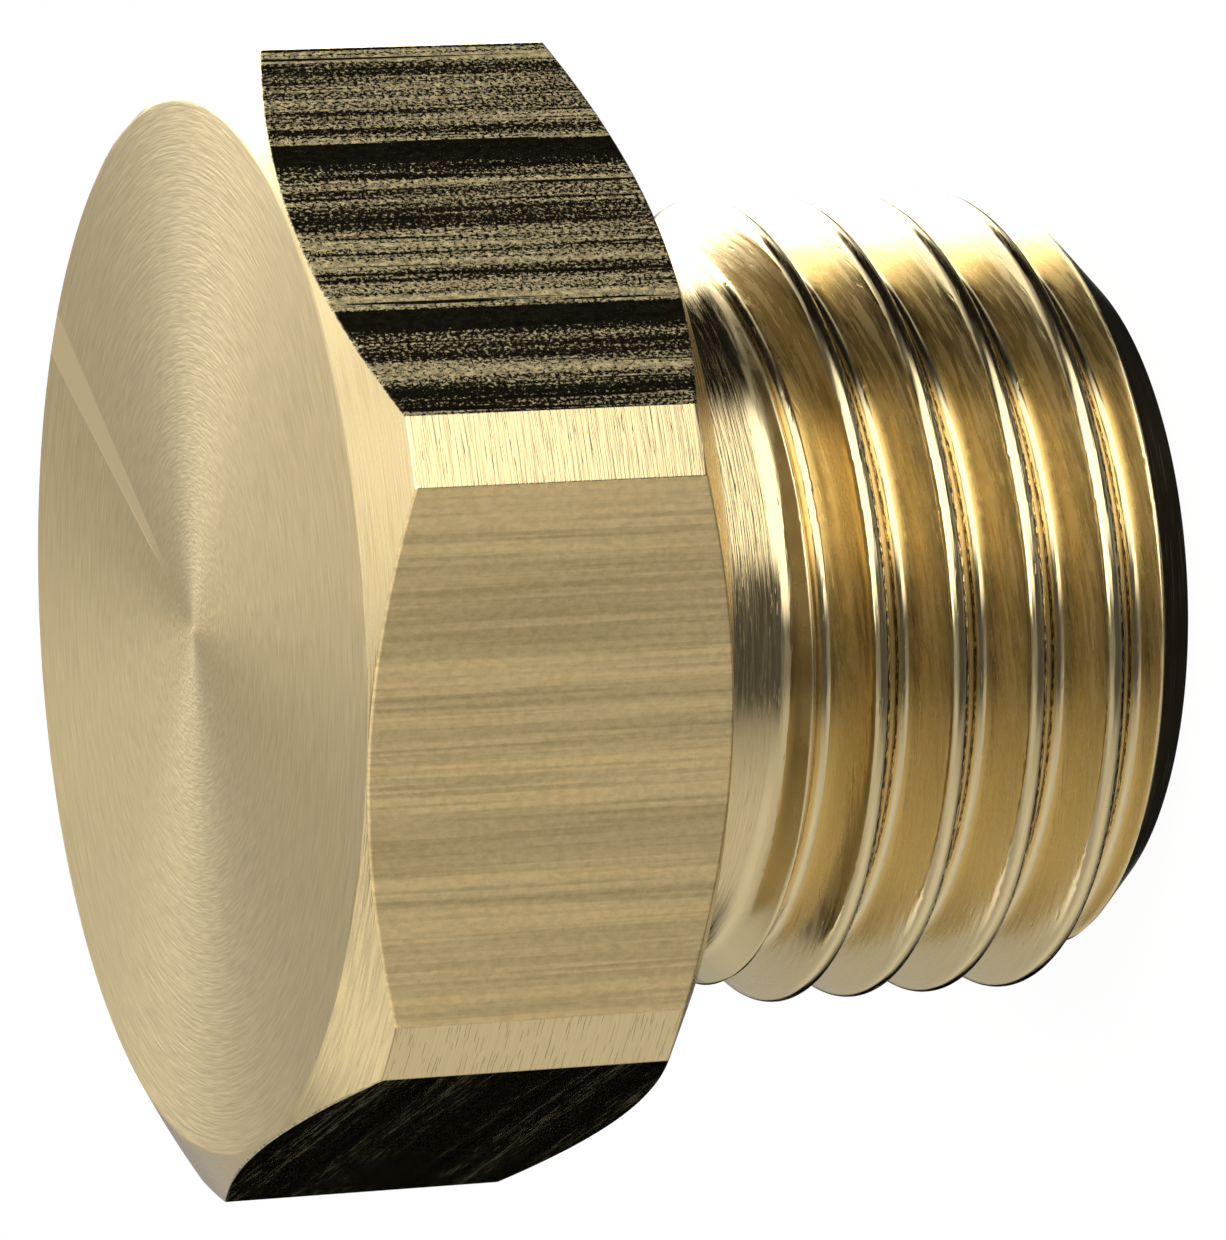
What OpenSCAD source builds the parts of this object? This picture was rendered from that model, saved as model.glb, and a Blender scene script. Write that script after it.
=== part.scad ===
// Hex head plug turned from one piece of brass bar: a chamfered hex head, a plain
// neck below it and a right-hand pipe thread of the parallel Whitworth form.
// The axis is Z, the head is up, and Z = 0 is the seat under the head.

/* [Hex head] */
// Width across the flats, for the spanner
across_flats = 17; // [15:0.5:24]
// Height of the head above its seat
head_height = 6; // [4:0.25:10]
// Depth turned off each of the six corners
corner_trim = 0.315; // [0.1:0.005:0.6]
// Distance from the flats in to the round edge of each chamfer
chamfer_inset = 0.07; // [0.03:0.01:0.4]
// Angle between the chamfers and the end faces of the head
chamfer_angle = 31; // [20:1:45]

/* [Neck] */
// Length of the plain neck, from the seat to the fillet before the thread
neck_length = 1.74; // [1:0.02:2.6]
// Depth of the neck below the root of the thread
neck_relief = 0.01; // [0.01:0.01:0.4]
// Radius of the fillet between the seat and the neck
seat_fillet = 0.3; // [0.1:0.05:0.6]
// Radius of the fillet between the neck and the run-out of the thread
run_out_fillet = 0.5; // [0.2:0.05:0.8]
// Angle between the axis and the cone where the thread runs out
run_out_angle = 45; // [30:1:60]

/* [Thread] */
// Outside diameter of the thread
major_d = 13.157; // [9:0.001:14]
// Distance from one crest to the next along the axis
pitch = 1.337; // [0.8:0.001:1.8]
// Angle between the two flanks of the thread
flank_angle = 55; // [50:1:60]
// Length of the shank, from the seat to its end
shank_length = 9; // [6:0.25:20]
// Depth and width of the chamfer at the end of the thread
end_chamfer = 1.22; // [0.4:0.02:1.8]
// Direction in which the ridge of the thread would leave the seat
start_angle = 95.3; // [0:0.1:360]

/* [Hidden] */

// Facets of the thread round the axis, and steps along each quarter of a rounding
COLUMNS = 48;
ARC_STEPS = 2;
// How far the thread starts inside the neck, and how far below its surface
OVERLAP = 0.4;
SINK = 0.02;

// The Whitworth form: a sharp triangle with a sixth of its height rounded off the
// crest and a sixth filled in at the root, both with the same radius.
sharp_height = pitch / 2 / tan(flank_angle / 2);
form_depth = sharp_height * 2 / 3;
slope = flank_angle / 2;
rounding = sharp_height / 6 / (1 / sin(slope) - 1);
rounding_half = rounding * cos(slope);

major_r = major_d / 2;
root_r = major_r - form_depth;
crest_centre = major_r - rounding;
root_centre = root_r + rounding;

corner_r = across_flats / 2 / cos(30) - corner_trim;
face_r = across_flats / 2 - chamfer_inset;
chamfer_height = (corner_r - face_r) * tan(chamfer_angle);
neck_r = root_r - neck_relief;
end_r = major_r - end_chamfer;

// Radius of the thread form at a distance d along the axis from the nearest crest
function form_radius(d) =
    let (to_root = pitch / 2 - d)
    d < rounding_half ? crest_centre + sqrt(rounding * rounding - d * d)
    : to_root < rounding_half ? root_centre - sqrt(rounding * rounding - to_root * to_root)
    : crest_centre + rounding * sin(slope) - (d - rounding_half) / tan(slope);

// Largest radius of the shank at a distance t below the seat, where its neck, its
// fillet, its run-out and its end chamfer bound the thread
function shank_envelope(t) =
    let (
        foot = neck_r - SINK,
        arc_end = neck_length + run_out_fillet * sin(run_out_angle),
        arc_rise = run_out_fillet * (1 - cos(run_out_angle)),
        along = t - neck_length,
        run_out = t <= neck_length ? foot
            : t < arc_end ? foot + run_out_fillet - sqrt(pow(run_out_fillet, 2) - along * along)
            : foot + arc_rise + (t - arc_end) * tan(run_out_angle)
    )
    min(run_out, end_r + shank_length - t);

// Distance along the axis from the nearest crest, at t below the seat and a share
// of a turn round the axis from +X
function crest_distance(t, turn) =
    let (s = t / pitch + turn - start_angle / 360)
    abs(s - round(s)) * pitch;

function shank_point(t, turn) =
    let (r = min(form_radius(crest_distance(t, turn)), shank_envelope(t)))
    [r * cos(360 * turn), r * sin(360 * turn), -t];

// Stations of one pitch from root to root: the roundings in equal arcs, the flanks
// in two steps
form_stations = concat(
    [for (k = [0 : ARC_STEPS]) -pitch / 2 + rounding * sin((90 - slope) * k / ARC_STEPS)],
    [-pitch / 4],
    [for (k = [-ARC_STEPS : ARC_STEPS]) rounding * sin((90 - slope) * k / ARC_STEPS)],
    [pitch / 4],
    [for (k = [-ARC_STEPS : -1]) pitch / 2 + rounding * sin((90 - slope) * k / ARC_STEPS)]
);

module head() {
    color("#b9a571")
    intersection() {
        rotate(30)
            linear_extrude(height = head_height)
                circle(d = across_flats / cos(30), $fn = 6);
        rotate_extrude($fn = 96)
            polygon([
                [0, 0],
                [face_r, 0],
                [corner_r, chamfer_height],
                [corner_r, head_height - chamfer_height],
                [face_r, head_height],
                [0, head_height]
            ]);
    }
}

// The neck reaches up into the head, so that the two are one solid
module neck() {
    color("#d8c9a0")
    rotate_extrude($fn = 96) {
        translate([0, -neck_length])
            square([neck_r, neck_length + head_height / 2]);
        difference() {
            translate([0, -seat_fillet])
                square([neck_r + seat_fillet, seat_fillet + head_height / 2]);
            translate([neck_r + seat_fillet, -seat_fillet])
                circle(r = seat_fillet, $fn = 48);
        }
    }
}

// The threaded shank as one skin. Its rows follow the helix, so the last column
// meets the first one pitch further on, and rows past either end lie in its plane.
module thread() {
    top = neck_length - OVERLAP;
    count = len(form_stations);
    first = floor(top / pitch - start_angle / 360) - 1;
    rows = count * (ceil((shank_length - top) / pitch) + 4);
    function station(row, column) =
        form_stations[row % count]
        + pitch * (floor(row / count) + first + start_angle / 360 - column / COLUMNS);
    function held(row, column) = min(max(station(row, column), top), shank_length);
    function index(row, column) =
        column == COLUMNS ? index(max(row - count, 0), 0)
        : let (t = held(row, column))
        (t <= top ? 0 : t >= shank_length ? rows : row) * COLUMNS + column;
    function apart(row, column) = held(row + 1, column) > held(row, column);

    color("#c4a860")
    polyhedron(
        points = [
            for (row = [0 : rows], column = [0 : COLUMNS - 1])
                shank_point(
                    row == 0 ? top : row == rows ? shank_length : held(row, column),
                    column / COLUMNS
                )
        ],
        faces = concat(
            [for (row = [0 : rows - 1], column = [0 : COLUMNS - 1]) if (apart(row, column))
                [index(row, column), index(row + 1, column + 1), index(row + 1, column)]],
            [for (row = [0 : rows - 1], column = [0 : COLUMNS - 1]) if (apart(row, column + 1))
                [index(row, column), index(row, column + 1), index(row + 1, column + 1)]],
            [[for (column = [COLUMNS - 1 : -1 : 0]) column]],
            [[for (column = [0 : COLUMNS - 1]) rows * COLUMNS + column]]
        ),
        convexity = 12
    );
}

module plug() {
    head();
    neck();
    thread();
}

plug();
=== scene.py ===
"""Looks of a brass hex head plug: its turned head, neck and pipe thread, and the studio round it.

The plug stands on the end of its thread, with its axis on Z and the seat under its head at Z = 0.
Sizes are in millimetres and angles in degrees until a mesh is made.

Bright brass looks like what it mirrors. In the photograph that is a room with white boxes, grey
walls and dark flags, while the background is plain white. So the background is white to the
camera only, and the brass mirrors a room of panels, among them the white of that background.
"""

from __future__ import annotations

import logging
import math
from dataclasses import dataclass
from enum import Enum

import bpy
import numpy as np
from mathutils import Matrix, Vector

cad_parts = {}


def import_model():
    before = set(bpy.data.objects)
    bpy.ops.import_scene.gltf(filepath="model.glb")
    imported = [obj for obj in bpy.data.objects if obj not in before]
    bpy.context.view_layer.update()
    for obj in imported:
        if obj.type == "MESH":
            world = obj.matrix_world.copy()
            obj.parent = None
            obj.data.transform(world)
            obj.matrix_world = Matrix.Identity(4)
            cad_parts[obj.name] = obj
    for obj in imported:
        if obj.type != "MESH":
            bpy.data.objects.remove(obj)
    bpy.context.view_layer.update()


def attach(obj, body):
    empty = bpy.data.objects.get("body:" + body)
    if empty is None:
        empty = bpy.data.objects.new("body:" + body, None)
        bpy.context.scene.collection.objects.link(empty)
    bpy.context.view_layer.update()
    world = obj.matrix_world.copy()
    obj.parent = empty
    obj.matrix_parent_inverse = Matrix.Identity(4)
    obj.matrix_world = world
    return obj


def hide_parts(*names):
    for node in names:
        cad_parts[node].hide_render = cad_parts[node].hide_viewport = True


MM = 0.001
PICTURE_WIDTH = 1226
PICTURE_HEIGHT = 1240

FLATS = 6
FLAT_TURN = 360 / FLATS
HALF_TURN = FLAT_TURN / 2

# Noise of the tool marks: its average, and how far apart the patterns of two flats lie in it
NOISE_MEAN = 0.5
FLAT_SHIFT = 37.0

# Least distance from the axis at which a direction round it is worked out
AXIS_GAP = 0.001

log = logging.getLogger("plug")


class Zone(Enum):
    """A stretch of the plug's skin with a finish of its own."""

    FACE = 0
    CHAMFER = 1
    BAND = 2
    FLAT = 3
    OPEN_FLAT = 4
    SCUFFED_FLAT = 5
    NECK = 6
    THREAD = 7
    END = 8


def smooth_min(a: np.ndarray, b: np.ndarray, width: float) -> np.ndarray:
    """The lesser of two sizes, with the corner where they cross rounded over a small difference.

    Where the two differ by less than width, a parabola replaces the corner. It lies a quarter
    of the width under the crossing and meets both sizes without a kink.

    Args:
        a: First size.
        b: Second size.
        width: Difference within which the corner is rounded.

    Returns:
        The rounded lesser size.
    """
    near = np.clip(1 - np.abs(a - b) / width, 0, 1)
    return np.minimum(a, b) - near**2 * width / 4


def from_flat(angles: np.ndarray) -> np.ndarray:
    """Angle from the middle of the nearest flat, from -30 to 30 degrees."""
    return (angles + HALF_TURN) % FLAT_TURN - HALF_TURN


def direction(azimuth: np.ndarray | float, elevation: np.ndarray | float) -> np.ndarray:
    """Unit vector towards an azimuth and an elevation.

    Azimuth 0 is -Y and 90 is +X, and elevation 90 is +Z.

    Args:
        azimuth: Angle round the vertical, in degrees.
        elevation: Angle above the horizon, in degrees.

    Returns:
        The vector, or one for each pair of angles.
    """
    turn, lift = np.radians(azimuth), np.radians(elevation)
    return np.stack([np.sin(turn) * np.cos(lift), -np.cos(turn) * np.cos(lift), np.sin(lift)], -1)


def new_object(
    name: str, points: np.ndarray, faces: list, paints: list[bpy.types.Material]
) -> bpy.types.Object:
    """Makes a mesh object at the origin and adds it to the scene.

    Args:
        name: Name of the object and of its mesh.
        points: Its vertices, in millimetres.
        faces: Numbers of the vertices round each face.
        paints: Material of each slot.

    Returns:
        The object.
    """
    mesh = bpy.data.meshes.new(name)
    mesh.from_pydata((points * MM).tolist(), [], faces)
    for paint in paints:
        mesh.materials.append(paint)
    made = bpy.data.objects.new(name, mesh)
    bpy.context.scene.collection.objects.link(made)
    return made


@dataclass(frozen=True)
class HexHead:
    """The hexagonal head: its flats, turned corners and two chamfers."""

    across_flats: float = 17.0
    height: float = 6.0
    corner_trim: float = 0.315
    chamfer_inset: float = 0.07
    chamfer_angle: float = 31.0
    edge_break: float = 0.035
    edge_share: float = 0.4
    edge_points: int = 5
    corner_break: float = 0.012
    corner_reach: float = 1.5
    flat_columns: int = 21
    band_columns: int = 3

    @property
    def corner_radius(self) -> float:
        """Radius that the six corners are turned down to."""
        return self.across_flats / 2 / math.cos(math.radians(HALF_TURN)) - self.corner_trim

    @property
    def face_radius(self) -> float:
        """Radius of the round edge of each chamfer."""
        return self.across_flats / 2 - self.chamfer_inset

    @property
    def flat_edge(self) -> float:
        """Angle from the middle of a flat to its edge on the turned corner."""
        return math.degrees(math.acos(self.across_flats / 2 / self.corner_radius))

    @property
    def flat_slope(self) -> float:
        """How fast a flat's distance from the axis grows at its edge, for each degree."""
        return math.radians(self.corner_radius * math.tan(math.radians(self.flat_edge)))

    def columns(self) -> np.ndarray:
        """Angles of the mesh columns, closer together where a flat meets a turned corner.

        The columns of half a flat and half a corner are mirrored, and repeated for each flat.

        Returns:
            Rising angles from the middle of the flat at +X round to just under a whole turn.
        """
        edge = self.flat_edge
        ramp = self.corner_break / self.flat_slope
        flat = np.linspace(0, edge - self.corner_reach * ramp, self.flat_columns)
        corner = edge + ramp * np.linspace(-1, 1, self.edge_points)
        band = np.linspace(edge + self.corner_reach * ramp, HALF_TURN, self.band_columns)
        half = np.concatenate([flat, corner, band])
        sector = np.concatenate([half, FLAT_TURN - half[-2:0:-1]])
        return (np.arange(FLATS)[:, None] * FLAT_TURN + sector[None]).ravel()

    def side(self, angles: np.ndarray) -> np.ndarray:
        """Distance from the axis to the side of the head.

        On a flat this is half the width across the flats over the cosine of the angle from the
        middle of the flat, and on a corner the turned radius.

        Args:
            angles: Angles round the axis.

        Returns:
            One distance for each angle.
        """
        flat = self.across_flats / 2 / np.cos(np.radians(from_flat(angles)))
        return smooth_min(flat, np.full_like(flat, self.corner_radius), self.corner_break)

    def rows(self, angles: np.ndarray, seat_radius: float) -> tuple[np.ndarray, list[Zone]]:
        """Profile of the head at each angle, from the middle of its face down to the seat.

        The profile is a straight-sided outline through the face's edge, the two edges of the
        side and the seat's edge. Each of these corners is a small parabola between two points
        on its sides, an edge break from the corner. The seat's inner edge has none, because
        the fillet of the neck goes on from there.

        Args:
            angles: Angles round the axis.
            seat_radius: Inner radius at which the seat ends.

        Returns:
            Radius and height of each row and column, and the zone that follows each row.
        """
        side = self.side(angles)
        rise = (side - self.face_radius) * math.tan(math.radians(self.chamfer_angle))
        top = np.full_like(side, self.height)
        rim = np.full_like(side, self.face_radius)
        outline = np.stack(
            [
                np.stack([0 * side, top], -1),
                np.stack([rim, top], -1),
                np.stack([side, top - rise], -1),
                np.stack([side, rise], -1),
                np.stack([rim, 0 * side], -1),
                np.stack([0 * side + seat_radius, 0 * side], -1),
            ]
        )
        stretches = [
            (Zone.FACE, 9),
            (Zone.CHAMFER, 3),
            (Zone.FLAT, 3),
            (Zone.CHAMFER, 3),
            (Zone.NECK, 3),
        ]
        edges = [Zone.FACE, Zone.FLAT, Zone.FLAT, Zone.CHAMFER]
        rows: list[np.ndarray] = [outline[0]]
        zones: list[Zone] = []
        start = outline[0]
        for corner, (zone, steps) in enumerate(stretches, 1):
            if corner == len(stretches):
                arc = outline[corner][None]
            else:
                arc = self.rounded(*outline[corner - 1 : corner + 2])
            for share in np.linspace(0, 1, steps + 1)[1:]:
                rows.append(start + (arc[0] - start) * share)
                zones.append(zone)
            for point in arc[1:]:
                rows.append(point)
                zones.append(edges[corner - 1])
            start = arc[-1]
        return np.stack(rows), zones

    def rounded(self, before: np.ndarray, here: np.ndarray, after: np.ndarray) -> np.ndarray:
        """Points of the parabola that rounds one corner of the profile.

        Args:
            before: The corner before it, at each angle.
            here: The corner itself.
            after: The corner after it.

        Returns:
            The points at each angle, from one side of the corner to the other.
        """
        back, ahead = before - here, after - here
        back_length = np.linalg.norm(back, axis=-1, keepdims=True)
        ahead_length = np.linalg.norm(ahead, axis=-1, keepdims=True)
        reach_back = np.minimum(self.edge_break, back_length * self.edge_share)
        reach_ahead = np.minimum(self.edge_break, ahead_length * self.edge_share)
        first = here + back / back_length * reach_back
        last = here + ahead / ahead_length * reach_ahead
        share = np.linspace(0, 1, self.edge_points)[:, None, None]
        return (1 - share) ** 2 * first + 2 * share * (1 - share) * here + share**2 * last


@dataclass(frozen=True)
class Shank:
    """The plain neck and the threaded shank below the head."""

    major_diameter: float = 13.157
    pitch: float = 1.337
    flank_angle: float = 55.0
    length: float = 9.0
    start_angle: float = 95.3
    end_chamfer: float = 1.22
    neck_length: float = 1.74
    neck_relief: float = 0.01
    seat_fillet: float = 0.3
    run_out_fillet: float = 0.5
    run_out_angle: float = 45.0
    edge_break: float = 0.02
    fillet_rows: int = 7
    plain_rows: int = 6
    rows_per_pitch: int = 36

    @property
    def major_radius(self) -> float:
        """Radius over the crests."""
        return self.major_diameter / 2

    @property
    def sharp_height(self) -> float:
        """Height of the sharp triangle that the thread form is cut from."""
        return self.pitch / 2 / math.tan(math.radians(self.flank_angle / 2))

    @property
    def root_radius(self) -> float:
        """Radius at the bottom of the groove: two thirds of the sharp height below the crests."""
        return self.major_radius - self.sharp_height * 2 / 3

    @property
    def neck_radius(self) -> float:
        """Radius of the plain neck."""
        return self.root_radius - self.neck_relief

    @property
    def end_radius(self) -> float:
        """Radius of the end face."""
        return self.major_radius - self.end_chamfer

    def form(self, distance: np.ndarray) -> np.ndarray:
        """Radius of the thread form.

        The form is two straight flanks between an arc over the crest and an arc in the root.
        Both arcs have the radius that cuts a sixth of the sharp height off the triangle.

        Args:
            distance: Distance along the axis from the nearest crest.

        Returns:
            One radius for each distance.
        """
        slope = math.radians(self.flank_angle / 2)
        arc = self.sharp_height / 6 / (1 / math.sin(slope) - 1)
        reach = arc * math.cos(slope)
        to_root = self.pitch / 2 - distance
        crest = self.major_radius - arc + np.sqrt(np.maximum(arc**2 - distance**2, 0))
        root = self.root_radius + arc - np.sqrt(np.maximum(arc**2 - to_root**2, 0))
        flank = self.major_radius - arc + arc * math.sin(slope)
        flank = flank - (distance - reach) / math.tan(slope)
        return np.where(distance < reach, crest, np.where(to_root < reach, root, flank))

    def run_out(self, depth: np.ndarray) -> np.ndarray:
        """Radius of the neck, its fillet and the cone on which the thread runs out.

        Args:
            depth: Distance below the seat.

        Returns:
            One radius for each depth.
        """
        angle = math.radians(self.run_out_angle)
        along = depth - self.neck_length
        fillet = self.run_out_fillet
        arc = fillet - np.sqrt(np.maximum(fillet**2 - along**2, 0))
        cone = fillet * (1 - math.cos(angle)) + (along - fillet * math.sin(angle)) * math.tan(angle)
        rise = np.where(along < 0, 0, np.where(along < fillet * math.sin(angle), arc, cone))
        return self.neck_radius + rise

    def end_cone(self, depth: np.ndarray) -> np.ndarray:
        """Radius of the chamfer at the end, which grows as fast as the depth shrinks."""
        return self.end_radius + self.length - depth

    def thread(self, depth: np.ndarray, angles: np.ndarray) -> np.ndarray:
        """Radius of the thread by itself, with no run-out and no chamfer.

        The crest lies where depth over pitch plus the share of a turn is the start's share, so
        it climbs towards the head as the angle grows, which is a right-hand thread.

        Args:
            depth: Distance below the seat.
            angles: Angle round the axis, for each point or each column.

        Returns:
            One radius for each point.
        """
        turn = depth / self.pitch + (angles - self.start_angle) / 360
        return self.form(np.abs(turn - np.round(turn)) * self.pitch)

    def radius(self, depth: np.ndarray, angles: np.ndarray) -> np.ndarray:
        """Radius of the threaded shank: the thread held within the run-out and the chamfer.

        Args:
            depth: Distance below the seat.
            angles: Angle round the axis, of the same shape.

        Returns:
            One radius for each point.
        """
        held = smooth_min(self.run_out(depth), self.end_cone(depth), self.edge_break)
        return smooth_min(self.thread(depth, angles), held, self.edge_break)

    def neck_rows(self, angles: np.ndarray) -> np.ndarray:
        """Rows of the fillet under the seat and of the plain neck, at each angle.

        Args:
            angles: Angles round the axis.

        Returns:
            Radius and height of each row and column.
        """
        turn = np.radians(np.linspace(0, 90, self.fillet_rows + 1))[1:]
        radius = self.neck_radius + self.seat_fillet * (1 - np.sin(turn))
        height = -self.seat_fillet * (1 - np.cos(turn))
        neck = np.linspace(self.seat_fillet, self.neck_length, self.plain_rows + 1)[1:]
        radius = np.concatenate([radius, np.full_like(neck, self.neck_radius)])
        height = np.concatenate([height, -neck])
        rows = np.stack([radius, height], -1)[:, None, :]
        return np.broadcast_to(rows, (len(radius), len(angles), 2))

    def depths(self, angles: np.ndarray) -> np.ndarray:
        """Depths of the threaded rows, which follow the helix and stop at the neck and the end.

        The rows start at least a pitch above the neck's end and go on at least a pitch below the
        shank's, so that a whole turn of the helix is covered at both.

        Args:
            angles: Angles of the columns.

        Returns:
            Depth of each row and column.
        """
        start = self.neck_length
        first = math.floor(start / self.pitch) - 1
        count = math.ceil((self.length - start) / self.pitch) + 4
        row = np.arange(count * self.rows_per_pitch + 1) / self.rows_per_pitch
        depth = self.pitch * (first + row[:, None] - angles[None] / 360)
        return np.clip(depth, start, self.length)


@dataclass
class Skin:
    """The plug's closed skin: its vertices, its triangles and the zone of each triangle."""

    points: np.ndarray
    triangles: np.ndarray
    zones: np.ndarray

    @property
    def normals(self) -> np.ndarray:
        """Normal at each vertex: the sum of its triangles' cross products, at length one."""
        corners = self.points[self.triangles]
        cross = np.cross(corners[:, 1] - corners[:, 0], corners[:, 2] - corners[:, 0])
        total = np.zeros_like(self.points)
        for corner in range(3):
            np.add.at(total, self.triangles[:, corner], cross)
        return total / np.maximum(np.linalg.norm(total, axis=1, keepdims=True), 1e-30)


@dataclass(frozen=True)
class Plug:
    """The whole plug, one turned piece."""

    head: HexHead = HexHead()
    shank: Shank = Shank()
    open_flats: tuple[int, ...] = (0, 2)
    scuffed_flats: tuple[int, ...] = (4,)

    def skin(self) -> Skin:
        """Joins the head's, the neck's and the thread's rows into one closed skin.

        The columns are angles round the axis. A point lies at its row's radius in the direction
        of its column, at its row's height.

        Returns:
            The closed skin.
        """
        angles = self.head.columns()
        seat_radius = self.shank.neck_radius + self.shank.seat_fillet
        head_rows, zones = self.head.rows(angles, seat_radius)
        neck_rows = self.shank.neck_rows(angles)
        plain = np.concatenate([head_rows, neck_rows])
        depth = self.shank.depths(angles)
        around = np.broadcast_to(angles, depth.shape)
        threaded = np.stack([self.shank.radius(depth, around), -depth], -1)
        rows = np.concatenate([plain, threaded])
        turn = np.radians(angles)[None]
        radius = rows[..., 0]
        points = np.stack([radius * np.cos(turn), radius * np.sin(turn), rows[..., 1]], -1)

        zones = zones + [Zone.NECK] * len(neck_rows) + [Zone.THREAD] * len(threaded)
        kinds = self.kinds(zones, rows, angles, len(plain)).ravel()
        cells = self.cells(depth, len(plain))
        halves = [cells[..., [0, 1, 2]], cells[..., [0, 2, 3]]]
        triangles = np.concatenate([half.reshape(-1, 3) for half in halves])
        centre = points.size // 3
        rim = cells[-1, :, 1]
        fan = np.stack([rim, np.full_like(rim, centre), cells[-1, :, 2]], -1)
        triangles = np.concatenate([triangles, fan])
        kinds = np.concatenate([kinds, kinds, np.full(len(fan), Zone.END.value)])
        points = np.concatenate([points.reshape(-1, 3), [[0, 0, -self.shank.length]]])
        whole = (triangles != np.roll(triangles, -1, 1)).all(1)
        used, triangles = np.unique(triangles[whole], return_inverse=True)
        return Skin(points[used], triangles.reshape(-1, 3), kinds[whole])

    def cells(self, depth: np.ndarray, first: int) -> np.ndarray:
        """Numbers of the four points round each cell between two rows and two columns.

        A threaded row climbs one pitch in a turn, so its last column is the first column of the
        row a pitch above. The points of the top row are one, and so are those of the threaded
        rows that are held at the neck or at the end, so that no gap is left between them.

        Args:
            depth: Depth of each threaded row and column.
            first: Number of the first threaded row.

        Returns:
            Four point numbers for each cell, anticlockwise from its upper left one.
        """
        count, columns = len(depth) + first, depth.shape[1]
        index = np.arange(count * columns).reshape(count, columns)
        index[0] = 0
        held_top = depth <= self.shank.neck_length
        held_end = depth >= self.shank.length
        index[first:] = np.where(held_top, index[first - 1], np.where(held_end, index[-1], index[first:]))
        after = index[:, :1].copy()
        above = np.maximum(np.arange(first, count) - self.shank.rows_per_pitch, first)
        after[first:, 0] = index[above, 0]
        wide = np.concatenate([index, after], 1)
        return np.stack([wide[:-1, :-1], wide[1:, :-1], wide[1:, 1:], wide[:-1, 1:]], -1)

    def kinds(self, zones: list[Zone], rows: np.ndarray, angles: np.ndarray, first: int) -> np.ndarray:
        """Zone number of each cell: its row's, but for the corners, the marked flats and the end.

        Args:
            zones: Zone that follows each row.
            rows: Radius and height of each row and column.
            angles: Angles of the columns.
            first: Number of the first threaded row.

        Returns:
            One number for each cell.
        """
        kind = np.repeat([[zone.value] for zone in zones], len(angles), axis=1)
        centre = (angles + np.roll(angles, -1)) / 2
        centre[-1] = (angles[-1] + 360) / 2
        flat = np.round(centre / FLAT_TURN).astype(int) % FLATS
        on_flat = kind == Zone.FLAT.value
        kind[on_flat & np.isin(flat, self.open_flats)] = Zone.OPEN_FLAT.value
        kind[on_flat & np.isin(flat, self.scuffed_flats)] = Zone.SCUFFED_FLAT.value
        kind[on_flat & (np.abs(from_flat(centre)) > self.head.flat_edge)] = Zone.BAND.value
        depth = -rows[first:-1, :, 1]
        kind[first:][self.shank.end_cone(depth) < self.shank.thread(depth, angles)] = Zone.END.value
        return kind

    def build(self, finishes: dict[Zone, bpy.types.Material]) -> bpy.types.Object:
        """Makes the plug's mesh object, with a material slot for each zone.

        Args:
            finishes: Material of each zone.

        Returns:
            The object, at the origin.
        """
        skin = self.skin()
        paints = [finishes[zone] for zone in Zone]
        piece = new_object("plug_body", skin.points, skin.triangles.tolist(), paints)
        mesh = piece.data
        mesh.polygons.foreach_set("material_index", skin.zones.astype(np.int32))
        mesh.polygons.foreach_set("use_smooth", np.ones(len(skin.triangles), bool))
        mesh.normals_split_custom_set_from_vertices(skin.normals.tolist())
        mesh.update()
        return piece


class Value:
    """A number on a socket, with arithmetic that adds Math nodes to the same tree."""

    def __init__(self, bench: Bench, socket: bpy.types.NodeSocket) -> None:
        """Keeps the bench that makes nodes and the socket that carries the number."""
        self.bench = bench
        self.socket = socket

    def math(self, operation: str, *others: Value | float) -> Value:
        """Adds one Math node that takes this value first.

        Args:
            operation: The Math node's operation.
            others: Its further inputs.

        Returns:
            The node's result.
        """
        return self.bench.math(operation, self, *others)

    def __add__(self, other: Value | float) -> Value:
        """This value plus another."""
        return self.math("ADD", other)

    def __radd__(self, other: float) -> Value:
        """A number plus this value."""
        return self.math("ADD", other)

    def __sub__(self, other: Value | float) -> Value:
        """This value less another."""
        return self.math("SUBTRACT", other)

    def __rsub__(self, other: float) -> Value:
        """A number less this value."""
        return self.bench.math("SUBTRACT", other, self)

    def __mul__(self, other: Value | float) -> Value:
        """This value times another."""
        return self.math("MULTIPLY", other)

    def __rmul__(self, other: float) -> Value:
        """A number times this value."""
        return self.math("MULTIPLY", other)

    def __truediv__(self, other: Value | float) -> Value:
        """This value over another."""
        return self.math("DIVIDE", other)

    def __rtruediv__(self, other: float) -> Value:
        """A number over this value."""
        return self.bench.math("DIVIDE", other, self)

    def __abs__(self) -> Value:
        """This value without its sign."""
        return self.math("ABSOLUTE")

    def step(self, low: float, high: float) -> Value:
        """A smooth step from 0 at low to 1 at high, or down from 1 to 0 if low is the greater.

        Args:
            low: Where the step starts.
            high: Where it ends.

        Returns:
            The step's value, between 0 and 1.
        """
        falling = low > high
        node = self.bench.node(
            "ShaderNodeMapRange",
            {"interpolation_type": "SMOOTHSTEP"},
            {
                "Value": self,
                "From Min": min(low, high),
                "From Max": max(low, high),
                "To Min": 1.0 if falling else 0.0,
                "To Max": 0.0 if falling else 1.0,
            },
        )
        return Value(self.bench, node.outputs["Result"])


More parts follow.
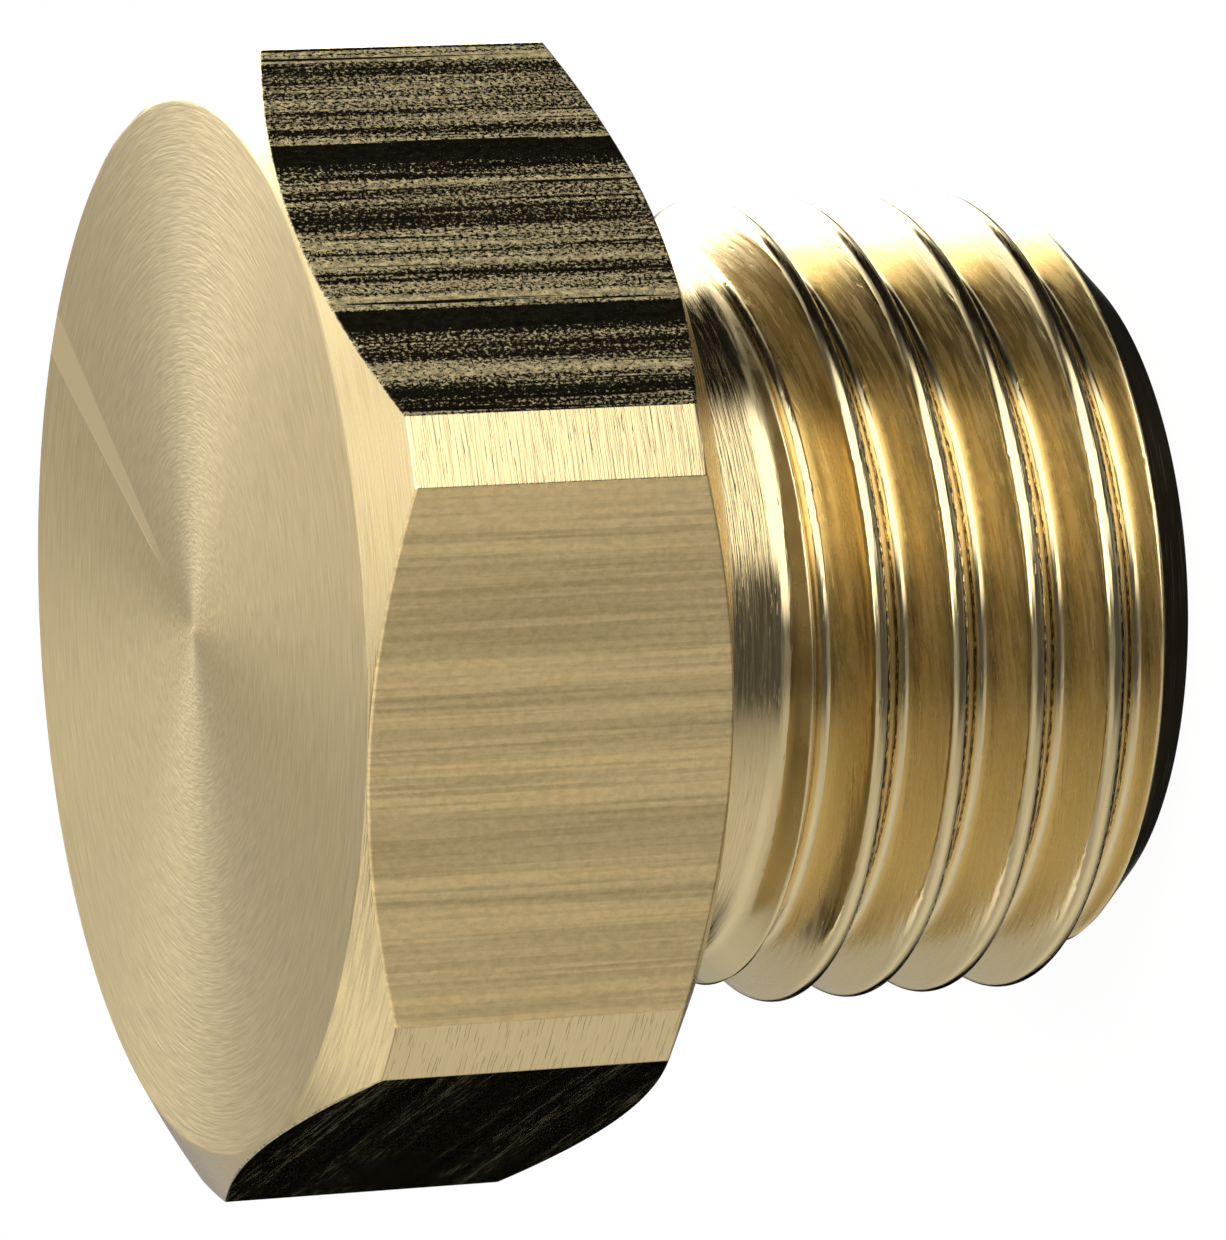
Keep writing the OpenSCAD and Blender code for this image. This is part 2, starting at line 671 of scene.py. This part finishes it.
class Bench:
    """Makes the nodes of one material or world."""

    def __init__(self, tree: bpy.types.NodeTree) -> None:
        """Empties the tree and keeps it."""
        self.tree = tree
        tree.nodes.clear()

    def node(
        self, kind: str, settings: dict | None = None, sockets: dict | None = None
    ) -> bpy.types.Node:
        """Adds a node, sets it up and fills its sockets.

        Args:
            kind: The node's type name.
            settings: Properties of the node, set first.
            sockets: A value, a socket or a Value for each named or numbered input.

        Returns:
            The node.
        """
        made = self.tree.nodes.new(kind)
        for name, setting in (settings or {}).items():
            setattr(made, name, setting)
        for name, value in (sockets or {}).items():
            self.fill(made.inputs[name], value)
        return made

    def fill(self, socket: bpy.types.NodeSocket, value: object) -> None:
        """Links a socket or a Value into an input, or sets the input's own number.

        Args:
            socket: The input.
            value: What it takes.
        """
        if isinstance(value, Value):
            self.tree.links.new(value.socket, socket)
        elif isinstance(value, bpy.types.NodeSocket):
            self.tree.links.new(value, socket)
        else:
            socket.default_value = value

    def math(self, operation: str, *inputs: Value | float) -> Value:
        """Adds a Math node.

        Args:
            operation: The node's operation.
            inputs: Its inputs in order.

        Returns:
            The node's result.
        """
        made = self.node("ShaderNodeMath", {"operation": operation}, dict(enumerate(inputs)))
        return Value(self, made.outputs[0])

    def vector(self, x: Value | float, y: Value | float, z: Value | float) -> bpy.types.NodeSocket:
        """Joins three numbers into a vector."""
        return self.node("ShaderNodeCombineXYZ", None, {0: x, 1: y, 2: z}).outputs[0]

    def split(self, vector: bpy.types.NodeSocket) -> list[Value]:
        """Splits a vector into three numbers."""
        made = self.node("ShaderNodeSeparateXYZ", None, {0: vector})
        return [Value(self, part) for part in made.outputs]

    def noise(self, vector: bpy.types.NodeSocket, detail: float, rough: float) -> Value:
        """A noise texture between 0 and 1, with about one grain for each unit of the vector.

        Args:
            vector: Where to read it.
            detail: Number of finer layers.
            rough: Strength of each finer layer.

        Returns:
            The noise.
        """
        made = self.node(
            "ShaderNodeTexNoise",
            {"noise_dimensions": "3D"},
            {"Vector": vector, "Scale": 1.0, "Detail": detail, "Roughness": rough},
        )
        return Value(self, made.outputs[0])

    def tint(self, share: Value, first: tuple, second: tuple) -> bpy.types.NodeSocket:
        """A colour between two colours."""
        ends = {0: share, 6: (*first, 1), 7: (*second, 1)}
        return self.node("ShaderNodeMix", {"data_type": "RGBA"}, ends).outputs[2]

    def blend(self, share: Value, first: bpy.types.Node, second: bpy.types.Node) -> bpy.types.Node:
        """A surface between those of two shaders."""
        ends = {0: share, 1: first.outputs[0], 2: second.outputs[0]}
        return self.node("ShaderNodeMixShader", None, ends)

    def end(self, kind: str, surface: bpy.types.Node) -> None:
        """Adds the output node and links a shader to it."""
        self.node(kind, None, {"Surface": surface.outputs[0]})


def new_paint(name: str) -> tuple[bpy.types.Material, Bench]:
    """Makes an empty material.

    Args:
        name: Its name.

    Returns:
        The material, and the bench that makes its nodes.
    """
    made = bpy.data.materials.new(name)
    made.use_nodes = True
    return made, Bench(made.node_tree)


@dataclass(frozen=True)
class Place:
    """Where a point of the plug lies, as the finishes need it, in millimetres."""

    x: Value
    y: Value
    z: Value
    radius: Value
    cosine: Value
    sine: Value

    @classmethod
    def on(cls, bench: Bench) -> Place:
        """Reads the object coordinates and works out the distance from the axis.

        Args:
            bench: The material's bench.

        Returns:
            The place of the shaded point.
        """
        made = bench.node("ShaderNodeTexCoord")
        x, y, z = (part * (1 / MM) for part in bench.split(made.outputs["Object"]))
        radius = (x * x + y * y).math("SQRT").math("MAXIMUM", AXIS_GAP)
        return cls(x, y, z, radius, x / radius, y / radius)

    @property
    def turn(self) -> Value:
        """Angle round the axis in degrees, from -180 to 180."""
        return self.y.math("ARCTAN2", self.x) * math.degrees(1)


@dataclass(frozen=True)
class Track:
    """The way that tool marks follow: one coordinate across it and two along it, in millimetres."""

    across: Value
    first: Value
    second: Value

    @classmethod
    def around(cls, place: Place, reach: float, rise: float = 1.0) -> Track:
        """Marks that a lathe tool leaves round the axis.

        Args:
            place: Where the shaded point lies.
            reach: Radius at which a length along the marks is true.
            rise: Share of the height in the coordinate across the marks, next to the radius.

        Returns:
            The track.
        """
        return cls(place.z * rise + place.radius, place.cosine * reach, place.sine * reach)

    @classmethod
    def along(cls, place: Place, grain: float) -> Track:
        """Marks on the flats of a drawn bar.

        Each flat has its own middle, so the distance across it is the radius times the sine of
        the angle from that middle. The number of the flat keeps the patterns of two flats apart.

        Args:
            place: Where the shaded point lies.
            grain: Angle from the axis to the marks.

        Returns:
            The track.
        """
        turn = place.turn
        flat = (turn / FLAT_TURN).math("ROUND")
        side = place.radius * ((turn - flat * FLAT_TURN) * math.radians(1)).math("SINE")
        cosine, sine = math.cos(math.radians(grain)), math.sin(math.radians(grain))
        across = side * cosine - place.z * sine
        return cls(across, side * sine + place.z * cosine, flat * FLAT_SHIFT)


@dataclass(frozen=True)
class Marks:
    """One layer of tool marks, as noise stretched along their track."""

    width: float
    length: float
    depth: float = 0.0
    detail: float = 1.0
    rough: float = 0.5

    def grain(self, bench: Bench, track: Track) -> Value:
        """The layer's noise, which is near one half on the average.

        Args:
            bench: The material's bench.
            track: The way that the marks follow.

        Returns:
            The noise, between 0 and 1.
        """
        where = bench.vector(
            track.across * (1 / self.width),
            track.first * (1 / self.length),
            track.second * (1 / self.length),
        )
        return bench.noise(where, self.detail, self.rough)


@dataclass(frozen=True)
class Surface:
    """What a finish works out for a point: its tone, its roughness and its height."""

    tone: Value
    roughness: Value
    height: Value


@dataclass(frozen=True)
class Brass:
    """Turned brass, with fine marks round the axis and sparse deeper scores among them.

    The tone runs from the dark colour at 0 to the light one at 1. Where the noise of the fine
    marks rises through its range, the metal is rougher by the spread.
    """

    name: str
    dark: tuple[float, float, float] = (0.74, 0.57, 0.28)
    light: tuple[float, float, float] = (0.86, 0.69, 0.38)
    roughness: float = 0.12
    spread: float = 0.06
    anisotropy: float = 0.0
    anisotropy_turn: float = 0.25
    reach: float = 6.5
    rise: float = 1.0
    fine: Marks = Marks(0.045, 0.9, 0.004)
    fine_range: tuple[float, float] = (0.35, 0.65)
    scores: Marks = Marks(0.03, 0.35, 0.006)
    score_level: float = 0.66
    score_blend: float = 0.1

    def surface(self, bench: Bench, place: Place) -> Surface:
        """Works out the finish at a point.

        Args:
            bench: The material's bench.
            place: Where the shaded point lies.

        Returns:
            The tone, roughness and height there.
        """
        track = Track.around(place, self.reach, self.rise)
        fine = self.fine.grain(bench, track)
        scores = self.scores.grain(bench, track)
        scores = scores.step(self.score_level, self.score_level + self.score_blend)
        height = fine * self.fine.depth - scores * self.scores.depth
        return Surface(fine, self.roughness + fine.step(*self.fine_range) * self.spread, height)

    def material(self) -> bpy.types.Material:
        """Builds the material.

        Returns:
            The material.
        """
        made, bench = new_paint(self.name)
        surface = self.surface(bench, Place.on(bench))
        relief = {"Strength": 1.0, "Distance": MM, "Height": surface.height}
        bump = bench.node("ShaderNodeBump", None, relief)
        shader = bench.node(
            "ShaderNodeBsdfPrincipled",
            None,
            {
                "Base Color": bench.tint(surface.tone, self.dark, self.light),
                "Metallic": 1.0,
                "Roughness": surface.roughness,
                "Anisotropic": self.anisotropy,
                "Anisotropic Rotation": self.anisotropy_turn,
                "Normal": bump.outputs[0],
            },
        )
        bench.end("ShaderNodeOutputMaterial", shader)
        return made


@dataclass(frozen=True)
class FacedBrass(Brass):
    """The faced end of the head: short arcs round the axis, and one smooth streak to the rim, painted
    lighter as a highlight.
    """

    reach: float = 5.0
    arcs: Marks = Marks(0.05, 0.5, 0.011, 2.0)
    streak_angle: float = 98.0
    streak_half_width: float = 2.8
    streak_blur: float = 0.25
    streak_range: tuple[float, float] = (1.2, 2.8)
    streak_polish: float = 0.8

    def surface(self, bench: Bench, place: Place) -> Surface:
        """Works out the finish at a point of the face.

        The streak is a wedge between two angles, which fades in with the distance from the axis.
        In it the arcs are shallower, and the tone is lifted to the light colour as a painted highlight.

        Args:
            bench: The material's bench.
            place: Where the shaded point lies.

        Returns:
            The tone, roughness and height there.
        """
        arcs = self.arcs.grain(bench, Track.around(place, self.reach))
        edge, blur = self.streak_half_width, self.streak_blur
        streak = abs(place.turn - self.streak_angle).step(edge + blur, edge - blur)
        streak = streak * place.radius.step(*self.streak_range)
        # Painted highlight: inside the streak the tone is lifted to the light colour.
        tone = arcs * (1 - streak) + streak
        roughness = self.roughness + (arcs - NOISE_MEAN) * self.spread
        return Surface(tone, roughness, arcs * (1 - self.streak_polish * streak) * self.arcs.depth)


@dataclass(frozen=True)
class DrawnBrass(Brass):
    """A flat of the drawn bar: smooth metal with matt specks, which lie in bands along its grain.

    Each bare stretch is a low and a high limit of the distance across the grain. It has fewer
    specks, and fewest in its core below the high limit.
    """

    anisotropy: float = 0.6
    anisotropy_turn: float = 0.0
    grain: float = 0.0
    matt: float = 0.66
    speck_level: float = 0.44
    speck_blend: float = 0.2
    band_pull: float = 1.4
    bare: tuple[tuple[float, float], ...] = ()
    bare_drop: float = 0.11
    bare_fades: tuple[float, float] = (0.4, 0.12)
    core_depths: tuple[float, float] = (0.55, 0.3)
    core_drop: float = 3.0
    cloud_share: float = 0.3
    bands: Marks = Marks(0.7, 60.0, 0.0, 5.0, 0.75)
    band_tones: tuple[float, float] = (0.42, 0.58)
    streaks: Marks = Marks(0.09, 7.0, 0.002, 2.0)
    streak_tones: tuple[float, float] = (0.36, 0.56)
    streak_cut: tuple[float, float] = (0.36, 0.43)
    specks: Marks = Marks(0.05, 0.09, 0.002, 2.0, 0.6)
    clouds: Marks = Marks(0.09, 0.16, 0.0, 3.0, 0.7)
    cloud_tones: tuple[float, float] = (0.34, 0.64)

    def surface(self, bench: Bench, place: Place) -> Surface:
        """Works out the finish at a point of a flat.

        Args:
            bench: The material's bench.
            place: Where the shaded point lies.

        Returns:
            The tone, roughness and height there.
        """
        track = Track.along(place, self.grain)
        bands = self.bands.grain(bench, track)
        streaks = self.streaks.grain(bench, track)
        specks = self.specks.grain(bench, track)
        level = specks + (bands - NOISE_MEAN) * self.band_pull
        for limits in self.bare:
            level = level - self.bareness(track.across, *limits) * self.bare_drop
        matt = level.step(self.speck_level, self.speck_level + self.speck_blend)
        matt = matt * matt * streaks.step(*self.streak_cut)
        height = streaks * self.streaks.depth + specks * self.specks.depth
        lines = (bands.step(*self.band_tones) + streaks.step(*self.streak_tones)) * 0.5
        clouds = self.clouds.grain(bench, track).step(*self.cloud_tones)
        tone = lines * (1 - self.cloud_share) + clouds * self.cloud_share
        return Surface(tone, self.roughness + matt * (self.matt - self.roughness), height)

    def bareness(self, across: Value, low: float, high: float) -> Value:
        """How bare a point is: 1 within a bare stretch, and more in its core.

        Args:
            across: Distance across the grain.
            low: Lower limit of the stretch.
            high: Higher limit of the stretch.

        Returns:
            The bareness, which is 0 outside the stretch.
        """
        fade_in, fade_out = self.bare_fades
        inside = across.step(low, low + fade_in) * across.step(high, high - fade_out)
        core = across.step(*(high - depth for depth in self.core_depths))
        return inside * (core * self.core_drop + 1)


@dataclass(frozen=True)
class CutBrass(Brass):
    """The thread: matt flanks between smooth crests and roots, and dark edges of painted shade on the far
    side.

    The far side of a crest is the one away from the head. Distances are along the axis. The
    edges of painted shade take the dark colour in dashes, and the rest lies between the plain
    tone and the light one.
    """

    shank: Shank = Shank()
    flank_roughness: float = 0.14
    crest_range: tuple[float, float] = (0.14, 0.26)
    root_range: tuple[float, float] = (0.08, 0.2)
    plain_tone: float = 0.84
    shade_edges: tuple[float, ...] = (0.11, 0.56)
    shade_edge_range: tuple[float, float] = (0.055, 0.022)
    shade_heights: tuple[float, float] = (-2.6, -2.8)
    shade_breaks: Marks = Marks(0.05, 0.14, 0.0, 2.0, 0.7)
    shade_break_range: tuple[float, float] = (0.42, 0.5)

    def surface(self, bench: Bench, place: Place) -> Surface:
        """Works out the finish at a point of the thread.

        The distance past the nearest crest follows from the height and the angle, as in the
        thread's own form.

        Args:
            bench: The material's bench.
            place: Where the shaded point lies.

        Returns:
            The tone, roughness and height there.
        """
        plain = super().surface(bench, place)
        pitch = self.shank.pitch
        turn = (place.turn - self.shank.start_angle) / 360.0 - place.z / pitch
        past = (turn - turn.math("ROUND")) * pitch
        off = abs(past)
        flank = off.step(*self.crest_range) * (pitch / 2 - off).step(*self.root_range)
        # Painted shade: dark lines at two distances past the crest, broken into dashes by noise and faded
        # out above 2.8 mm below the seat.
        painted_shade = sum(abs(past - edge).step(*self.shade_edge_range) for edge in self.shade_edges)
        painted_shade = painted_shade * self.shade_breaks.grain(bench, Track.around(place, self.reach)).step(*self.shade_break_range)
        painted_shade = painted_shade * place.z.step(*self.shade_heights)
        tone = (self.plain_tone + plain.tone * (1 - self.plain_tone)) * (1 - painted_shade)
        return Surface(tone, plain.roughness + flank * self.flank_roughness, plain.height)


@dataclass(frozen=True)
class Panel:
    """A white box, a wall or a dark flag of the studio, as a soft-edged patch of the surroundings.

    Its middle is a direction, its half sizes and the soft edge are angles, and its level is the
    brightness, where 1 is white.
    """

    azimuth: float
    elevation: float
    half_width: float
    half_height: float
    level: float
    soft: float = 6.0

    def over(self, azimuth: np.ndarray, elevation: np.ndarray, level: np.ndarray) -> np.ndarray:
        """Lays the panel over what lies behind it.

        Both edges fade as a smooth step, three times the square less twice the cube.

        Args:
            azimuth: Azimuth of each direction.
            elevation: Its elevation.
            level: Brightness behind the panel.

        Returns:
            The brightness with the panel.
        """
        turn = (azimuth - self.azimuth + 180) % 360 - 180
        beside = np.abs(turn) - self.half_width
        above = np.abs(elevation - self.elevation) - self.half_height
        share = np.ones_like(level)
        for past in (beside, above):
            inside = np.clip(0.5 - past / self.soft, 0, 1)
            share = share * inside**2 * (3 - 2 * inside)
        return level + (self.level - level) * share


@dataclass(frozen=True)
class Studio:
    """The surroundings: a room of panels, a white background and a small floor.

    Each panel lies over those before it. Walls have a level between 0.2 and 0.7, white boxes
    0.9 and more, and dark flags 0.1 and less.
    """

    base_level: float = 0.09
    room_radius: float = 1000.0
    room_step: int = 2
    floor_radius: float = 16.0
    floor_sides: int = 128
    floor_colour: tuple[float, float, float, float] = (0.8, 0.8, 0.8, 1)
    floor_gap: float = 0.01
    floor_lift: float = 0.9
    floor_glow: float = 1.06
    panels: tuple[Panel, ...] = (
        Panel(-60, 8, 75, 55, 0.42, 50),
        Panel(-55, -5, 45, 24, 0.68, 40),
        Panel(-12, 30, 25, 18, 0.56, 24),
        Panel(-128, 18, 24, 22, 0.46, 16),
        Panel(-95, -28, 24, 18, 0.20, 28),
        Panel(-106, -21, 17, 15, 0.0, 8),
        Panel(120, -68, 85, 24, 0.27, 14),
        Panel(110, 80, 85, 14, 1.30, 12),
        Panel(-140, 78, 42, 17, 0.90, 14),
        Panel(-88, 55, 9, 22, 0.98, 10),
        Panel(-30, 74, 44, 7, 0.10, 8),
        Panel(74, 25, 33, 48, 2.0, 16),
        Panel(68, 58, 36, 13, 3.2, 12),
        Panel(75, -32, 34, 5, 0.03, 5),
        Panel(24, 22, 8, 27, 0.22, 12),
        Panel(32, -22, 24, 30, 0.08, 14),
        Panel(137, -18, 23, 38, 0.01, 10),
        Panel(120, 38, 15, 22, 0.05, 12),
        Panel(148, 42, 14, 22, 0.45, 12),
        Panel(184, 46, 30, 20, 1.30, 16),
        Panel(187, 5, 22, 29, 3.6, 9),
        Panel(186, -33, 14, 7, 0.40, 8),
        Panel(184, -50, 28, 10, 0.05, 8),
        Panel(-134, -52, 30, 24, 0.01, 10),
    )

    def world(self) -> None:
        """Builds the world, a white background that only the camera sees.

        The plug's own light comes from the room, so the white is no extra light on it.
        """
        world = bpy.data.worlds.new("studio")
        world.use_nodes = True
        bpy.context.scene.world = world
        bench = Bench(world.node_tree)
        path = bench.node("ShaderNodeLightPath")
        through = Value(bench, path.outputs["Is Transmission Ray"])
        seen = Value(bench, path.outputs["Is Camera Ray"]).math("MAXIMUM", through)
        white = bench.node("ShaderNodeBackground", None, {"Color": (1, 1, 1, 1), "Strength": seen})
        bench.end("ShaderNodeOutputWorld", white)

    def room(self) -> bpy.types.Object:
        """Makes the room that the brass mirrors, a wide sphere that the camera doesn't see.

        A vertex lies at the room's radius in the direction of its azimuth and elevation. It
        holds the brightness of that direction, the base level with each panel laid over it.

        Returns:
            The room's object.
        """
        step = self.room_step
        azimuth, elevation = np.meshgrid(np.arange(0, 360, step), np.arange(step - 90, 90, step))
        azimuth = np.concatenate([azimuth.ravel(), [0, 0]])
        elevation = np.concatenate([elevation.ravel(), [-90, 90]])
        level = np.full(len(azimuth), self.base_level)
        for panel in self.panels:
            level = panel.over(azimuth, elevation, level)

        index = np.arange(len(azimuth) - 2).reshape(-1, 360 // step)
        after = np.roll(index, -1, 1)
        walls = np.stack([index[:-1], index[1:], after[1:], after[:-1]], -1).reshape(-1, 4)
        bottom, top = np.full_like(index[0], len(azimuth) - 2), np.full_like(index[0], len(azimuth) - 1)
        low = np.stack([index[0], after[0], bottom], -1)
        high = np.stack([after[-1], index[-1], top], -1)
        points = direction(azimuth, elevation) * self.room_radius
        faces = walls.tolist() + low.tolist() + high.tolist()
        room = new_object("room", points, faces, [self.room_glow()])
        room.data.attributes.new("level", "FLOAT", "POINT").data.foreach_set("value", level)
        room.visible_camera = False
        return room

    def room_glow(self) -> bpy.types.Material:
        """Makes the glow of the room, as bright at each point as the mesh says.

        Returns:
            The material.
        """
        made, bench = new_paint("room_glow")
        level = bench.node("ShaderNodeAttribute", {"attribute_name": "level"}).outputs["Fac"]
        glow = bench.node("ShaderNodeEmission", None, {"Strength": level})
        bench.end("ShaderNodeOutputMaterial", glow)
        made.cycles.emission_sampling = "NONE"
        return made

    def floor(self, height: float) -> bpy.types.Object:
        """Makes the floor, a flat disc a hair below what rests on it.

        Args:
            height: Height of what rests on it.

        Returns:
            The floor's object.
        """
        turn = np.linspace(0, 2 * np.pi, self.floor_sides + 1)[:-1]
        rim = np.stack([np.cos(turn), np.sin(turn), 0 * turn], -1) * self.floor_radius
        rim[:, 2] = height - self.floor_gap
        floor = new_object("floor", rim, [list(range(self.floor_sides))], [self.floor_paint()])
        return floor

    def floor_paint(self) -> bpy.types.Material:
        """Makes the floor's paint, pale to the plug and white to the camera but for the shadow.

        It is clear to what the brass mirrors, which is the room, and clear from below.

        Returns:
            The material.
        """
        made, bench = new_paint("floor_paint")
        paint = bench.node("ShaderNodeBsdfDiffuse", None, {"Color": self.floor_colour})
        white = {"Color": (1, 1, 1, 1), "Strength": self.floor_glow}
        glow = bench.node("ShaderNodeEmission", None, white)
        path = bench.node("ShaderNodeLightPath")
        lifted = Value(bench, path.outputs["Is Camera Ray"]) * self.floor_lift
        clear = bench.node("ShaderNodeBsdfTransparent")
        below = Value(bench, bench.node("ShaderNodeNewGeometry").outputs["Backfacing"])
        through = Value(bench, path.outputs["Is Glossy Ray"]).math("MAXIMUM", below)
        whole = bench.blend(through, bench.blend(lifted, paint, glow), clear)
        bench.end("ShaderNodeOutputMaterial", whole)
        return made


@dataclass(frozen=True)
class Camera:
    """The photograph's camera: where it looks from, how it is rolled and its focal length in pixels."""

    azimuth: float = 44.906
    elevation: float = 20.438
    roll: float = -92.95
    distance: float = 149.8
    target: tuple[float, float, float] = (0.119, -0.418, -1.02)
    focal_pixels: float = 9238.0
    sensor: float = 36.0
    nearest: float = 10.0
    farthest: float = 10000.0

    def build(self) -> bpy.types.Object:
        """Makes the camera and gives it to the scene.

        Returns:
            The camera's object.
        """
        back = Vector(direction(self.azimuth, self.elevation))
        level = Vector(direction(self.azimuth + 90, 0))
        rolled = Matrix.Rotation(math.radians(self.roll), 3, back) @ level
        up = back.cross(rolled)
        facing = Matrix((rolled, up, back)).transposed()
        lens = bpy.data.cameras.new("camera")
        lens.sensor_fit = "AUTO"
        lens.sensor_width = self.sensor
        lens.lens = self.focal_pixels * self.sensor / max(PICTURE_WIDTH, PICTURE_HEIGHT)
        lens.clip_start = self.nearest * MM
        lens.clip_end = self.farthest * MM
        camera = bpy.data.objects.new("camera", lens)
        camera.location = (Vector(self.target) + back * self.distance) * MM
        camera.rotation_mode = "QUATERNION"
        camera.rotation_quaternion = facing.to_quaternion()
        bpy.context.scene.collection.objects.link(camera)
        bpy.context.scene.camera = camera
        return camera


def finishes(shank: Shank) -> dict[Zone, bpy.types.Material]:
    """Makes the material of each zone.

    Args:
        shank: The shank, whose helix the finish of the thread follows.

    Returns:
        The materials by zone.
    """
    sand, wheat = (0.58, 0.455, 0.23), (0.92, 0.745, 0.42)
    olive, straw = (0.62, 0.48, 0.225), (0.97, 0.775, 0.42)
    dun, cream = (0.24, 0.185, 0.09), (1.0, 0.86, 0.49)
    # shade_black is the colour of the thread's painted shade lines; elsewhere the thread's tone stays
    # near gold.
    shade_black, gold = (0.05, 0.035, 0.015), (0.92, 0.74, 0.40)
    looks = {
        Zone.FACE: FacedBrass("brass_face", sand, wheat, roughness=0.42, anisotropy=0.65),
        Zone.CHAMFER: Brass(
            "brass_chamfer",
            spread=0.16,
            rise=0.0,
            fine=Marks(0.04, 0.7, 0.003, 2.0),
            scores=Marks(0.03, 0.35),
        ),
        Zone.BAND: Brass(
            "brass_turned",
            fine=Marks(0.05, 0.9, 0.004, 2.0),
            scores=Marks(0.03, 0.5, 0.004),
            score_level=0.6,
        ),
        Zone.FLAT: DrawnBrass("brass_flat", olive, straw, roughness=0.58, matt=0.70),
        Zone.OPEN_FLAT: DrawnBrass(
            "brass_open_flat",
            dun,
            cream,
            roughness=0.08,
            matt=0.8,
            anisotropy=0.85,
            speck_level=0.34,
            speck_blend=0.34,
            cloud_share=0.7,
            bare=((0.84, 2.0), (-3.15, -1.84)),
            specks=Marks(0.045, 0.07, 0.004, 2.0, 0.7),
        ),
        Zone.SCUFFED_FLAT: DrawnBrass(
            "brass_scuffed_flat",
            dun,
            cream,
            roughness=0.13,
            grain=90.0,
            matt=0.21,
            speck_level=0.50,
            cloud_share=0.5,
            specks=Marks(0.05, 0.9, 0.001, 2.0, 0.6),
        ),
        Zone.NECK: Brass(
            "brass_neck",
            roughness=0.06,
            spread=0.20,
            fine=Marks(0.035, 1.1, 0.006, 2.0),
            scores=Marks(0.03, 0.6, 0.002),
            score_level=0.62,
        ),
        Zone.THREAD: CutBrass(
            "brass_thread",
            shade_black,
            gold,
            roughness=0.07,
            spread=0.12,
            fine=Marks(0.03, 1.0, 0.004, 2.0),
            scores=Marks(0.04, 0.5, 0.002),
            shank=shank,
        ),
        Zone.END: Brass(
            "brass_end",
            roughness=0.10,
            fine=Marks(0.05, 3.0, 0.001),
            scores=Marks(0.03, 2.0, 0.001),
        ),
    }
    return {zone: look.material() for zone, look in looks.items()}


def main() -> None:
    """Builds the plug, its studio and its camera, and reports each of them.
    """
    logging.basicConfig(level=logging.INFO, format="%(message)s")
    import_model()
    bpy.context.scene.view_settings.view_transform = "Standard"

    plug = Plug()
    piece = plug.build(finishes(plug.shank))
    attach(piece, "root")
    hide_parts("plug")
    log.info("%s: %d triangles", piece.name, len(piece.data.polygons))

    studio = Studio()
    studio.world()
    room = studio.room()
    log.info("%s: %.0f mm across", room.name, studio.room_radius * 2)
    floor = studio.floor(-plug.shank.length)
    log.info("%s: %.0f mm across", floor.name, studio.floor_radius * 2)
    camera = Camera().build()
    log.info("%s: %.1f mm lens", camera.name, camera.data.lens)


if __name__ == "__main__":
    main()
